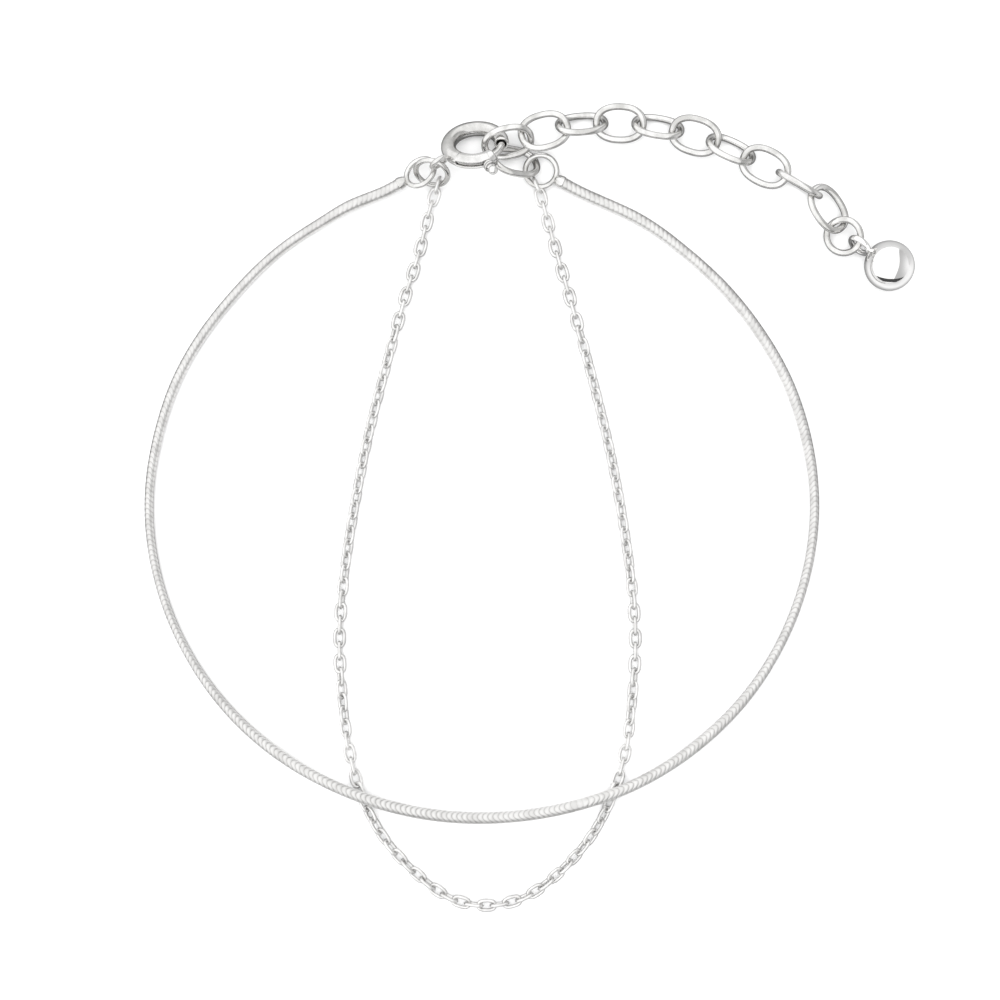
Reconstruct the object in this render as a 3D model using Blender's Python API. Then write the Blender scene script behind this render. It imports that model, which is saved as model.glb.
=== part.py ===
# A double-strand silver bracelet lying closed on a table: a snake chain, a fine cable chain,
# a spring-ring clasp and an extender of oval links with a ball.
# Metres, +X right and +Y up in the photo, +Z up off the table. The origin is on the table,
# under the middle of the whole bracelet.

import math

import bpy
import numpy as np
from mathutils import Euler, Matrix, Vector

MM = 0.001

# Play between pieces that touch on the real bracelet
CLEARANCE = 0.08 * MM
CROSSING_GAP = 0.12 * MM  # between the two chains where one passes over the other

# Snake chain and fine cable chain
SNAKE_DIAMETER = 1.0 * MM
FINE_CHAIN_DIAMETER = 0.92 * MM
ROUTE_SPACING = 2.4  # points along a chain's tube, in its diameters
CURVE_SAMPLES = 40  # fine points of a route between two of its given points
FINE_LINK_LENGTH = 1.62 * MM
FINE_LINK_WIDTH = 1.22 * MM
FINE_LINK_WIRE = 0.28 * MM

# Rings soldered to the snake chain's ends, with their solder cups
END_RING_DIAMETER = 3.07 * MM
END_RING_WIRE = 0.45 * MM
CUP_LENGTH = 0.6 * MM
CUP_SUNK = 0.6  # how deep a cup is sunk in its ring, in wire thicknesses
CUP_PROFILE = ((0.19, 0.0), (0.42, 0.3), (0.52, 0.7), (0.54, 1.0))  # radius in chain diameters, height share

# Loose rings
CLASP_JUMP_RING_DIAMETER = 3.17 * MM
CLASP_JUMP_RING_WIRE = 0.45 * MM
END_JUMP_RING_DIAMETER = 3.36 * MM
END_JUMP_RING_WIRE = 0.54 * MM

# Oval links of the extender and its connector
LINK_LENGTH = 4.46 * MM
LINK_WIDTH = 3.32 * MM
LINK_WIRE = 0.56 * MM
LINK_SLACK = 0.18 * MM  # gap between the wires of two links in line
EXTENDER_RESOLUTION = 0.02 * MM  # spacing of the fine points that the links are placed on
EXTENDER_RUN_ON = 3  # link lengths by which the route runs on past its drawn end, for longer links
OVAL_POWER = 2.3  # 2 is an ellipse, more is squarer

# Ball drop
BALL_DIAMETER = 4.17 * MM
BALL_LOOP_DIAMETER = 2.2 * MM
BALL_LOOP_WIRE = 0.5 * MM
BALL_LOOP_SUNK = 0.3  # how deep the loop is sunk in the ball, in wire thicknesses
BALL_PEG_DIAMETER = 1.3 * MM
BALL_PEG_START = 0.93  # the solder peg's inner end, in ball radii from the middle
BALL_PEG_PROFILE = ((0.5, 0.0), (0.5, 0.08), (0.36, 0.13))  # radius in peg diameters, height in ball radii
BALL_POLE_ANGLE = 88.0

# Spring ring: angles run anticlockwise from the ring's own +X
SPRING_RING_DIAMETER = 5.64 * MM
TUBE_DIAMETER = 1.24 * MM
TUBE_WALL = 0.18 * MM
MOUTH_ANGLE = -12.0
GAP_ANGLE = 47.0
KNOB_ANGLE = -76.0
TRIGGER_TRAVEL = 55.0
TIP_IN_MOUTH_ANGLE = 8.0
BOLT_TAIL_ANGLE = 36.0  # how far the bolt runs on behind the knob
BOLT_PLAY = 0.104 * MM  # between the bolt and the tube's inner wall
BOLT_STEPS = 14
BOLT_END = ((0.0, 0.45), (0.04, 0.85), (0.1, 1.0))  # share of its length, share of its thickness
STEM_DIAMETER = 0.32 * MM
KNOB_DIAMETER = 1.04 * MM
KNOB_HEIGHT = 0.55 * MM
KNOB_RIBS = ((0.84, 0.0), (1.0, 0.15), (0.84, 0.38), (1.0, 0.6), (0.84, 0.85), (0.55, 1.0))  # radius, height
KNOB_GAP = 0.16 * MM  # between the knob and the tube that it slides along
BULB_DIAMETER = 0.8 * MM
BULB_OUT = 0.75  # the bulb's middle beyond the knob, in its radii
BULB_ANGLES = (-30, 0, 30, 60, 82)
TAIL_ANGLE = -155.0
TAIL_LOOP_DIAMETER = 1.8 * MM
TAIL_LOOP_WIRE = 0.4 * MM
TAIL_TILT = 30.0
TAIL_SUNK = 0.85  # how deep the tail loop is sunk in the tube, in wall thicknesses

# Facets
WIRE_SIDES = 6
LOOP_SIDES = 16
TURNED_SIDES = 12
TUBE_SIDES = 10
PLAIN_TUBE_STEPS = 24
SLOT_STEPS = 8
BALL_SIDES = 24
BALL_RINGS = 14
SHARP_EDGE_ANGLE = 50.0

# Where the loose pieces lie: x, y, z in mm, then heading, pitch and roll in degrees
PLACES = {
    "left_end_ring": (-8.98, 27.94, 1.80, 27, 15, -36),
    "clasp_jump_ring": (-8.01, 27.85, 2.33, 15, 33, 41),
    "fine_chain_left_link": (-7.50, 26.91, 1.46, 76, 14, 80),
    "spring_ring": (-4.45, 30.17, 2.18, 10, -3, -45.5),
    "right_end_ring": (1.03, 28.17, 0.86, 152, 5, -1.5),
    "fine_chain_right_link": (0.73, 26.97, 0.78, 116, 7, 80),
    "connector_link": (-1.09, 28.88, 1.46, -5, -25.5, -37.5),
}

# Rolls of the ten extender links about their length, from the clasp to the end
LINK_ROLLS = (39, -6, -53.5, 13, -51, 15, -52, 12, -82, -30)
END_JUMP_RING_ROLL = 19.5
BALL_LOOP_ROLL = 71

# Route of the extender's middle line, from the first link's clasp end: x, y, z in mm
EXTENDER_ROUTE = (
    (-3.30, 30.16, 1.92),
    (-1.69, 30.43, 1.83),
    (1.37, 31.40, 1.74),
    (4.50, 32.00, 1.44),
    (7.70, 32.07, 1.27),
    (10.90, 31.75, 1.34),
    (14.03, 30.98, 1.31),
    (17.02, 29.79, 1.36),
    (19.75, 28.40, 1.39),
    (22.48, 26.96, 1.64),
    (24.83, 25.00, 1.48),
    (26.10, 22.79, 1.13),
    (27.45, 21.94, 1.29),
    (29.50, 20.45, 1.95),
)

# Route of the snake chain about its own middle: angle in degrees anticlockwise from +X, radius in mm,
# and how far it is lifted, as a share of what clears the fine chain
SNAKE_MIDDLE = (-3.88, 1.62)
SNAKE_ROUTE = (
    (115, 26.05, 0.45),
    (120, 25.99, 0.22),
    (130, 26.12, 0.02),
    (140, 26.23, 0.0),
    (150, 26.57, 0.0),
    (160, 27.00, 0.0),
    (170, 27.33, 0.0),
    (180, 27.70, 0.0),
    (195, 27.97, 0.0),
    (210, 28.02, 0.0),
    (222, 27.95, 0.0),
    (230, 27.82, 0.13),
    (236, 27.66, 0.47),
    (242, 27.50, 0.86),
    (248.5, 27.38, 1.0),
    (255, 27.31, 0.94),
    (263, 27.27, 0.80),
    (271, 27.24, 0.74),
    (279, 27.26, 0.80),
    (287, 27.32, 0.94),
    (293.5, 27.46, 1.0),
    (300, 27.60, 0.86),
    (306, 27.72, 0.47),
    (312, 27.83, 0.13),
    (320, 27.95, 0.0),
    (330, 27.99, 0.0),
    (345, 27.93, 0.0),
    (0, 27.68, 0.0),
    (10, 27.33, 0.0),
    (20, 27.00, 0.0),
    (30, 26.58, 0.0),
    (40, 26.28, 0.0),
    (50, 26.08, 0.0),
    (60, 26.08, 0.05),
)

# Route of the fine chain: x, y and lift off the table, in mm
FINE_ROUTE = (
    (-8.15, 25.10, 0.35),
    (-8.94, 22.04, 0.05),
    (-10.22, 17.88, 0.0),
    (-11.40, 13.71, 0.0),
    (-12.51, 9.54, 0.0),
    (-13.52, 5.38, 0.0),
    (-14.33, 1.21, 0.0),
    (-15.02, -2.96, 0.0),
    (-15.53, -7.12, 0.0),
    (-15.75, -11.29, 0.0),
    (-15.53, -15.46, 0.0),
    (-15.02, -19.62, 0.0),
    (-14.05, -23.40, 0.0),
    (-12.55, -26.58, 0.0),
    (-10.71, -29.00, 0.0),
    (-8.62, -30.95, 0.0),
    (-6.54, -32.35, 0.0),
    (-4.46, -33.02, 0.0),
    (-2.38, -32.98, 0.0),
    (-0.29, -32.28, 0.0),
    (1.79, -30.90, 0.0),
    (3.88, -28.90, 0.0),
    (5.75, -26.40, 0.0),
    (7.20, -23.20, 0.0),
    (8.16, -19.62, 0.0),
    (8.67, -15.46, 0.0),
    (8.90, -11.29, 0.0),
    (8.68, -7.12, 0.0),
    (8.17, -2.96, 0.0),
    (7.50, 1.21, 0.0),
    (6.67, 5.38, 0.0),
    (5.67, 9.54, 0.0),
    (4.57, 13.71, 0.0),
    (3.38, 17.88, 0.0),
    (2.15, 22.04, 0.05),
    (1.35, 24.90, 0.25),
)


def clear_scene():
    for obj in list(bpy.data.objects):
        bpy.data.objects.remove(obj, do_unlink=True)


def silver(name, shade, roughness):
    """A polished metal of one grey shade."""
    material = bpy.data.materials.new(name)
    material.use_nodes = True
    shader = material.node_tree.nodes["Principled BSDF"]
    shader.inputs["Base Color"].default_value = (shade, shade, shade, 1)
    shader.inputs["Metallic"].default_value = 1.0
    shader.inputs["Roughness"].default_value = roughness
    return material


def add_mesh(name, points, faces, material):
    mesh = bpy.data.meshes.new(name)
    mesh.from_pydata([tuple(point) for point in points], [], faces)
    mesh.validate()
    mesh.shade_smooth()
    mesh.set_sharp_from_angle(angle=math.radians(SHARP_EDGE_ANGLE))
    mesh.materials.append(material)
    obj = bpy.data.objects.new(name, mesh)
    bpy.context.scene.collection.objects.link(obj)
    return obj


def turn(heading, pitch, roll):
    """Heading turns about Z, pitch lifts the piece's own +X end, roll turns it about its own X."""
    return Euler([math.radians(angle) for angle in (roll, -pitch, heading)], "XYZ")


def put(obj, place):
    x, y, z, heading, pitch, roll = place
    obj.location = Vector((x, y, z)) * MM
    obj.rotation_euler = turn(heading, pitch, roll)


def place_matrix(place):
    x, y, z, heading, pitch, roll = place
    return Matrix.Translation(Vector((x, y, z)) * MM) @ turn(heading, pitch, roll).to_matrix().to_4x4()


def join_to(obj, helper):
    """Unions a hidden helper, placed in the object's own frame, into the object."""
    helper.parent = obj
    helper.hide_render = True
    helper.display_type = "WIRE"
    union = obj.modifiers.new("Join " + helper.name, "BOOLEAN")
    union.operation = "UNION"
    union.solver = "EXACT"
    union.object = helper


def grid_faces(rows, columns, closed_rows):
    """Quads of a grid whose columns wrap round, and whose rows do too when closed_rows is set."""
    faces = []
    for row in range(rows if closed_rows else rows - 1):
        below, above = row * columns, (row + 1) % rows * columns
        for column in range(columns):
            after = (column + 1) % columns
            faces.append((below + column, above + column, above + after, below + after))
    return faces


def power_cosine(angle, power):
    cosine = math.cos(angle)
    return math.copysign(abs(cosine) ** (2 / power), cosine)


def loop_mesh_points(length, width, wire, power):
    """Wire bent round an oval in the XY plane. Length and width are its outer sizes."""
    half_length, half_width = (length - wire) / 2, (width - wire) / 2
    middles = []
    for step in range(LOOP_SIDES):
        angle = math.tau * step / LOOP_SIDES
        middles.append(
            Vector((
                half_length * power_cosine(angle, power),
                half_width * power_cosine(angle - math.pi / 2, power),
                0,
            ))
        )
    points = []
    for step, middle in enumerate(middles):
        along = middles[(step + 1) % LOOP_SIDES] - middles[step - 1]
        outward = Vector((along.y, -along.x, 0)).normalized()
        for side in range(WIRE_SIDES):
            angle = math.tau * side / WIRE_SIDES
            points.append(middle + (outward * math.cos(angle) + Vector((0, 0, math.sin(angle)))) * wire / 2)
    return points


def loop_object(name, length, width, wire, power, material):
    points = loop_mesh_points(length, width, wire, power)
    return add_mesh(name, points, grid_faces(LOOP_SIDES, WIRE_SIDES, True), material)


def turned_object(name, profile, matrix, material, sides=TURNED_SIDES):
    """A closed solid turned about its own Z from (radius, height) pairs, then moved by a matrix."""
    points = []
    for radius, height in profile:
        for side in range(sides):
            angle = math.tau * side / sides
            points.append(matrix @ Vector((radius * math.cos(angle), radius * math.sin(angle), height)))
    faces = [face[::-1] for face in grid_faces(len(profile), sides, False)]
    faces.append(tuple(reversed(range(sides))))
    top = (len(profile) - 1) * sides
    faces.append(tuple(range(top, top + sides)))
    return add_mesh(name, points, faces, material)


def along_x(start):
    """Turns a piece's own Z to point along -X, and starts it at a distance from the middle."""
    return Matrix.Translation((start, 0, 0)) @ Matrix.Rotation(-math.pi / 2, 4, "Y")


def smooth_route(points, spacing):
    """Evenly spaced points on the natural cubic spline through the route's points."""
    points = np.array(points, float)
    steps = np.linalg.norm(np.diff(points, axis=0), axis=1)
    knots = np.concatenate([[0], np.cumsum(steps)])
    count = len(points)
    system = np.eye(count)
    right = np.zeros_like(points)
    for i in range(1, count - 1):
        system[i, i - 1 : i + 2] = steps[i - 1], 2 * (steps[i - 1] + steps[i]), steps[i]
        right[i] = 6 * ((points[i + 1] - points[i]) / steps[i] - (points[i] - points[i - 1]) / steps[i - 1])
    bend = np.linalg.solve(system, right)
    where = np.linspace(0, knots[-1], CURVE_SAMPLES * count)
    i = np.clip(np.searchsorted(knots, where, side="right") - 1, 0, count - 2)
    h = steps[i][:, None]
    before = (knots[i + 1] - where)[:, None]
    after = (where - knots[i])[:, None]
    fine = (bend[i] * before**3 + bend[i + 1] * after**3) / (6 * h)
    fine += (points[i] / h - bend[i] * h / 6) * before + (points[i + 1] / h - bend[i + 1] * h / 6) * after
    run = np.concatenate([[0], np.cumsum(np.linalg.norm(np.diff(fine, axis=0), axis=1))])
    even = np.linspace(0, run[-1], max(2, round(run[-1] / spacing) + 1))
    return np.stack([np.interp(even, run, fine[:, axis]) for axis in range(3)], axis=1)


def chain_route(points, diameter):
    """A chain's smooth route, kept from sinking into the table."""
    route = smooth_route(points, ROUTE_SPACING * diameter)
    route[:, 2] = np.maximum(route[:, 2], diameter / 2)
    return route


def tube_object(name, points, diameter, material):
    """A chain's outer form: a filled tube along its route."""
    curve = bpy.data.curves.new(name, "CURVE")
    curve.dimensions = "3D"
    curve.bevel_depth = diameter / 2
    curve.bevel_resolution = 2
    curve.use_fill_caps = True
    spline = curve.splines.new("POLY")
    spline.points.add(len(points) - 1)
    for target, point in zip(spline.points, points):
        target.co = (*point, 1)
    curve.materials.append(material)
    obj = bpy.data.objects.new(name, curve)
    bpy.context.scene.collection.objects.link(obj)
    return obj


def end_ring(name, material):
    """A ring with the solder cup that holds the snake chain's end, which points to the ring's own -X."""
    ring = loop_object(name, END_RING_DIAMETER, END_RING_DIAMETER, END_RING_WIRE, 2, material)
    sunk = END_RING_WIRE * CUP_SUNK
    profile = [(SNAKE_DIAMETER * wide, (sunk + CUP_LENGTH) * high) for wide, high in CUP_PROFILE]
    start = -(END_RING_DIAMETER / 2 - sunk)
    cup = turned_object(name + "_cup", profile, along_x(start), material)
    join_to(ring, cup)
    put(ring, PLACES[name])


def cup_mouth(name, gap):
    """The point at a gap beyond the end ring's cup, where the snake chain starts."""
    reach = END_RING_DIAMETER / 2 + CUP_LENGTH + gap
    return place_matrix(PLACES[name]) @ Vector((-reach, 0, 0))


def snake_chain(material):
    middle = Vector((*SNAKE_MIDDLE, 0)) * MM
    over_fine = FINE_CHAIN_DIAMETER + CROSSING_GAP
    points = []
    for name, gap in (("left_end_ring", CLEARANCE), ("left_end_ring", CLEARANCE + SNAKE_DIAMETER)):
        points.append(cup_mouth(name, gap))
    for angle, radius, lift in SNAKE_ROUTE:
        turned = math.radians(angle)
        out = Vector((math.cos(turned), math.sin(turned), 0)) * radius * MM
        points.append(middle + out + Vector((0, 0, lift * over_fine + SNAKE_DIAMETER / 2)))
    for gap in (CLEARANCE + SNAKE_DIAMETER, CLEARANCE):
        points.append(cup_mouth("right_end_ring", gap))
    tube_object("snake_chain", chain_route(points, SNAKE_DIAMETER), SNAKE_DIAMETER, material)


def fine_link_end(name, gap):
    """The point at a gap beyond the lower end of one of the fine chain's end links."""
    return place_matrix(PLACES[name]) @ Vector((-FINE_LINK_LENGTH / 2 - gap, 0, 0))


def fine_chain(material):
    points = [fine_link_end("fine_chain_left_link", CLEARANCE)]
    points += [Vector((x, y, lift)) * MM + Vector((0, 0, FINE_CHAIN_DIAMETER / 2)) for x, y, lift in FINE_ROUTE]
    points.append(fine_link_end("fine_chain_right_link", CLEARANCE))
    tube_object("fine_chain", chain_route(points, FINE_CHAIN_DIAMETER), FINE_CHAIN_DIAMETER, material)


def fine_end_link(name, material):
    link = loop_object(name, FINE_LINK_LENGTH, FINE_LINK_WIDTH, FINE_LINK_WIRE, OVAL_POWER, material)
    put(link, PLACES[name])


def tube_profile(radius):
    """(outward, up) pairs round the spring ring's tube. The trigger's slot lies between the last and the first."""
    slot_half = math.asin((STEM_DIAMETER / 2 + CLEARANCE) / radius)
    angles = np.linspace(slot_half, math.tau - slot_half, TUBE_SIDES)
    return [(radius * math.cos(angle), radius * math.sin(angle)) for angle in angles]


def spring_ring_tube(material):
    """A hollow tube bent round from the mouth to the gap's far side, slotted along its outer side."""
    bend = (SPRING_RING_DIAMETER - TUBE_DIAMETER) / 2
    slot_margin = math.degrees((STEM_DIAMETER / 2 + CLEARANCE) / (SPRING_RING_DIAMETER / 2 - TUBE_WALL))
    slot_from = KNOB_ANGLE + 360 - TRIGGER_TRAVEL - slot_margin
    slot_to = KNOB_ANGLE + 360 + slot_margin
    end = MOUTH_ANGLE - GAP_ANGLE + 360
    before = np.linspace(MOUTH_ANGLE, slot_from, PLAIN_TUBE_STEPS + 1)
    slotted = np.linspace(slot_from, slot_to, SLOT_STEPS + 1)
    angles = [*before, *slotted[1:], (slot_to + end) / 2, end]
    outer = tube_profile(TUBE_DIAMETER / 2)
    inner = tube_profile(TUBE_DIAMETER / 2 - TUBE_WALL)
    sides = len(outer)
    points = []
    for angle in angles:
        turned = math.radians(angle)
        out = Vector((math.cos(turned), math.sin(turned), 0))
        for across, up in outer + inner:
            points.append(out * (bend + across) + Vector((0, 0, up)))
    row = 2 * sides
    faces = []
    first_slot, last_slot = len(before) - 1, len(before) + len(slotted) - 2
    for step in range(len(angles) - 1):
        here, there = step * row, (step + 1) * row
        for side in range(sides):
            after = (side + 1) % sides
            if after == 0 and first_slot <= step < last_slot:
                continue
            faces.append((here + side, there + side, there + after, here + after))
            faces.append((here + sides + after, there + sides + after, there + sides + side, here + sides + side))
        if first_slot <= step < last_slot:
            last = sides - 1
            faces.append((here + last, there + last, there + sides + last, here + sides + last))
            faces.append((here + sides, there + sides, there, here))
    for side in range(sides):
        after = (side + 1) % sides
        end_row = (len(angles) - 1) * row
        faces.append((side, after, sides + after, sides + side))
        faces.append((end_row + after, end_row + side, end_row + sides + side, end_row + sides + after))
    last = sides - 1
    near, far = first_slot * row, last_slot * row
    faces.append((near + last, near + sides + last, near + sides, near))
    faces.append((far, far + sides, far + sides + last, far + last))
    return add_mesh("spring_ring", points, faces, material)


def spring_ring(material):
    """The clasp's hollow ring with its tail loop soldered on."""
    ring = spring_ring_tube(material)
    loop = loop_object("tail_loop", TAIL_LOOP_DIAMETER, TAIL_LOOP_DIAMETER, TAIL_LOOP_WIRE, 2, material)
    sunk = TUBE_WALL * TAIL_SUNK
    out = SPRING_RING_DIAMETER / 2 + TAIL_LOOP_DIAMETER / 2 - sunk
    upright = Matrix.Rotation(math.radians(90 - TAIL_TILT), 4, "X")
    loop.matrix_local = Matrix.Rotation(math.radians(TAIL_ANGLE), 4, "Z") @ Matrix.Translation((out, 0, 0)) @ upright
    join_to(ring, loop)
    put(ring, PLACES["spring_ring"])


def bolt_object(name, bend, wire, start, end, material):
    """A bent wire with blunt round ends, from one angle of the ring to another."""
    sides = WIRE_SIDES + 2
    plain = np.linspace(BOLT_END[-1][0], 1 - BOLT_END[-1][0], BOLT_STEPS + 1)
    shares = [*BOLT_END[:-1], *[(share, 1.0) for share in plain]]
    shares += [(1 - share, fat) for share, fat in reversed(BOLT_END[:-1])]
    points = []
    for share, fat in shares:
        turned = math.radians(start + (end - start) * share)
        out = Vector((math.cos(turned), math.sin(turned), 0))
        for side in range(sides):
            angle = math.tau * side / sides
            offset = out * math.cos(angle) + Vector((0, 0, math.sin(angle)))
            points.append(out * bend + offset * fat * wire / 2)
    faces = grid_faces(len(shares), sides, False)
    faces.append(tuple(range(sides)))
    top = (len(shares) - 1) * sides
    faces.append(tuple(reversed(range(top, top + sides))))
    return add_mesh(name, points, faces, material)


def clasp_trigger(material):
    """The bolt inside the spring ring with its stem, ribbed knob and bulb. It turns about the ring's axis."""
    bend = (SPRING_RING_DIAMETER - TUBE_DIAMETER) / 2
    wire = TUBE_DIAMETER - 2 * TUBE_WALL - 2 * BOLT_PLAY
    bolt = bolt_object(
        "clasp_trigger", bend, wire, KNOB_ANGLE - BOLT_TAIL_ANGLE, MOUTH_ANGLE + TIP_IN_MOUTH_ANGLE, material
    )
    knob_start = TUBE_DIAMETER / 2 + KNOB_GAP
    bulb = BULB_DIAMETER / 2
    profile = [(STEM_DIAMETER / 2, 0), (STEM_DIAMETER / 2, knob_start)]
    profile += [(KNOB_DIAMETER / 2 * wide, knob_start + KNOB_HEIGHT * high) for wide, high in KNOB_RIBS]
    bulb_middle = knob_start + KNOB_HEIGHT + bulb * BULB_OUT
    for angle in BULB_ANGLES:
        turned = math.radians(angle)
        profile.append((bulb * math.cos(turned), bulb_middle + bulb * math.sin(turned)))
    place = (
        Matrix.Rotation(math.radians(KNOB_ANGLE), 4, "Z")
        @ Matrix.Translation((bend, 0, 0))
        @ Matrix.Rotation(math.pi / 2, 4, "Y")
    )
    join_to(bolt, turned_object("trigger_knob", profile, place, material))
    put(bolt, PLACES["spring_ring"])


def heading_and_pitch(direction):
    return (
        math.degrees(math.atan2(direction.y, direction.x)),
        math.degrees(math.atan2(direction.z, math.hypot(direction.x, direction.y))),
    )


def walk(route, start, distance):
    """The first point of the route after index start that lies at a distance from the point there."""
    origin = Vector(route[start])
    for index in range(start + 1, len(route)):
        if (Vector(route[index]) - origin).length >= distance:
            return index
    return len(route) - 1


def run_on(route, length):
    """The route with a straight level run added past its end."""
    ahead = (route[-1] - route[-2]) * (1, 1, 0)
    steps = np.arange(1, round(length / EXTENDER_RESOLUTION) + 1)
    return np.concatenate([route, route[-1] + steps[:, None] * ahead])


def extender(link_material, ball_material):
    """Links, end ring and ball in line along the extender's route, each at its own pitch."""
    route = smooth_route([Vector(point) * MM for point in EXTENDER_ROUTE], EXTENDER_RESOLUTION)
    drawn_end = len(route) - 1
    route = run_on(route, EXTENDER_RUN_ON * LINK_LENGTH)
    mesh = None
    link_reach = LINK_LENGTH / 2 - LINK_WIRE - LINK_SLACK / 2
    ring_reach = END_JUMP_RING_DIAMETER / 2 - END_JUMP_RING_WIRE - LINK_SLACK / 2
    loop_reach = BALL_LOOP_DIAMETER / 2 - BALL_LOOP_WIRE - LINK_SLACK / 2
    index = 0
    tangent_reach = int(link_reach / EXTENDER_RESOLUTION)
    for number, roll in enumerate(LINK_ROLLS):
        index = walk(route, index, 2 * link_reach if number else link_reach)
        name = f"extender_link_{number + 1}"
        if mesh is None:
            link = loop_object(name, LINK_LENGTH, LINK_WIDTH, LINK_WIRE, OVAL_POWER, link_material)
            mesh = link.data
        else:
            link = bpy.data.objects.new(name, mesh)
            bpy.context.scene.collection.objects.link(link)
        before = Vector(route[max(0, index - tangent_reach)])
        after = Vector(route[min(len(route) - 1, index + tangent_reach)])
        link.location = route[index]
        link.rotation_euler = turn(*heading_and_pitch(after - before), roll)
    index = walk(route, index, link_reach + ring_reach)
    ring_place = Vector(route[index])
    ring = loop_object(
        "end_jump_ring", END_JUMP_RING_DIAMETER, END_JUMP_RING_DIAMETER, END_JUMP_RING_WIRE, 2, link_material
    )
    after = Vector(route[min(len(route) - 1, index + tangent_reach)])
    before = Vector(route[index - tangent_reach])
    ring.location = ring_place
    ring.rotation_euler = turn(*heading_and_pitch(after - before), END_JUMP_RING_ROLL)
    index = walk(route, index, ring_reach + loop_reach)
    toward = max(drawn_end, index + int(BALL_DIAMETER / 2 / EXTENDER_RESOLUTION))
    ball_drop(Vector(route[index]), Vector(route[toward]), ball_material)


def ball_drop(loop_place, toward, material):
    """The ball with its soldered loop and peg, from the loop's middle toward a point of the route."""
    radius = BALL_DIAMETER / 2
    profile = []
    for angle in np.radians(np.linspace(-BALL_POLE_ANGLE, BALL_POLE_ANGLE, BALL_RINGS)):
        profile.append((radius * math.cos(angle), radius * math.sin(angle)))
    ball = turned_object("ball_drop", profile, Matrix.Identity(4), material, BALL_SIDES)
    loop_out = radius + BALL_LOOP_DIAMETER / 2 - BALL_LOOP_WIRE * BALL_LOOP_SUNK
    loop = loop_object("ball_loop", BALL_LOOP_DIAMETER, BALL_LOOP_DIAMETER, BALL_LOOP_WIRE, 2, material)
    loop.location = (-loop_out, 0, 0)
    join_to(ball, loop)
    peg_profile = [(BALL_PEG_DIAMETER * wide, radius * high) for wide, high in BALL_PEG_PROFILE]
    peg = turned_object("ball_peg", peg_profile, along_x(-radius * BALL_PEG_START), material)
    join_to(ball, peg)
    lie = Vector((toward.x, toward.y, radius)) - loop_place
    ball.location = loop_place + lie.normalized() * loop_out
    ball.location.z = radius
    ball.rotation_euler = turn(*heading_and_pitch(ball.location - loop_place), BALL_LOOP_ROLL)


def main():
    clear_scene()
    bright = silver("bright_silver", 0.93, 0.12)
    chain = silver("chain_silver", 0.9, 0.2)
    snake_chain(chain)
    fine_chain(chain)
    for name in ("left_end_ring", "right_end_ring"):
        end_ring(name, bright)
    for name in ("fine_chain_left_link", "fine_chain_right_link"):
        fine_end_link(name, chain)
    jump = loop_object(
        "clasp_jump_ring", CLASP_JUMP_RING_DIAMETER, CLASP_JUMP_RING_DIAMETER, CLASP_JUMP_RING_WIRE, 2, bright
    )
    put(jump, PLACES["clasp_jump_ring"])
    spring_ring(bright)
    clasp_trigger(bright)
    connector = loop_object("connector_link", LINK_LENGTH, LINK_WIDTH, LINK_WIRE, OVAL_POWER, bright)
    put(connector, PLACES["connector_link"])
    extender(bright, bright)


main()
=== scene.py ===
import math

import bpy
import numpy as np
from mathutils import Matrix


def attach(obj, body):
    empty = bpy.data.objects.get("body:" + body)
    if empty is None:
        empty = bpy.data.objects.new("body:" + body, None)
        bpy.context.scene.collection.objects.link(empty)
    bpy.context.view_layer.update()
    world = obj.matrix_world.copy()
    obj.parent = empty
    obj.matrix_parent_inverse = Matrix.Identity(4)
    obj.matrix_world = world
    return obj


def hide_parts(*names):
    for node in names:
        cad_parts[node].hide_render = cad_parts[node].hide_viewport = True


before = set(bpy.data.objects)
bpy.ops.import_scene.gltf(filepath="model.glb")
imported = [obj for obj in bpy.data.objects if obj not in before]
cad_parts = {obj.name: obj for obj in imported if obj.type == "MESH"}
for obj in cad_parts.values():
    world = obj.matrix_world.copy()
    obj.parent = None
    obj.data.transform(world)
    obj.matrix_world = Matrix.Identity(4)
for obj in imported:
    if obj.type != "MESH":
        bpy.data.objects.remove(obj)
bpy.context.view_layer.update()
mm = 0.001
print("frame loaded:", len(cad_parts), "solids")


def unit(rows):
    # each vector divided by its own length
    return rows / np.linalg.norm(rows, axis=-1, keepdims=True)


def turned(points, place):
    # a point is turned by roll about X, then pitch, then heading about Z, and moved to x, y, z in mm
    x, y, z, heading, pitch, roll = place
    h, p, r = np.radians([heading, -pitch, roll])
    rollTurn = np.array([[1, 0, 0], [0, np.cos(r), -np.sin(r)], [0, np.sin(r), np.cos(r)]])
    pitchTurn = np.array([[np.cos(p), 0, np.sin(p)], [0, 1, 0], [-np.sin(p), 0, np.cos(p)]])
    headTurn = np.array([[np.cos(h), -np.sin(h), 0], [np.sin(h), np.cos(h), 0], [0, 0, 1]])
    return points @ (headTurn @ pitchTurn @ rollTurn).T + np.array([x, y, z]) * mm


def gridFaces(rows, columns, wrapRows):
    # quads between neighbouring rows, where the last column joins the first, and the last row too
    # when the rows are wrapped
    row = np.arange(rows if wrapRows else rows - 1)[:, None]
    column = np.arange(columns)[None, :]
    below, above = row * columns, (row + 1) % rows * columns
    after = (column + 1) % columns
    return np.stack([below + column, above + column, above + after, below + after], -1).reshape(-1, 4)


def capFaces(rows, columns, first):
    # triangles from the pole points, which stand after the grid, to the first and the last row
    column = np.arange(columns)
    after = (column + 1) % columns
    last = (rows - 1) * columns
    start = np.stack([np.full(columns, first), column, after], -1)
    end = np.stack([np.full(columns, first + 1), last + after, last + column], -1)
    return np.concatenate([start, end])


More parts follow.
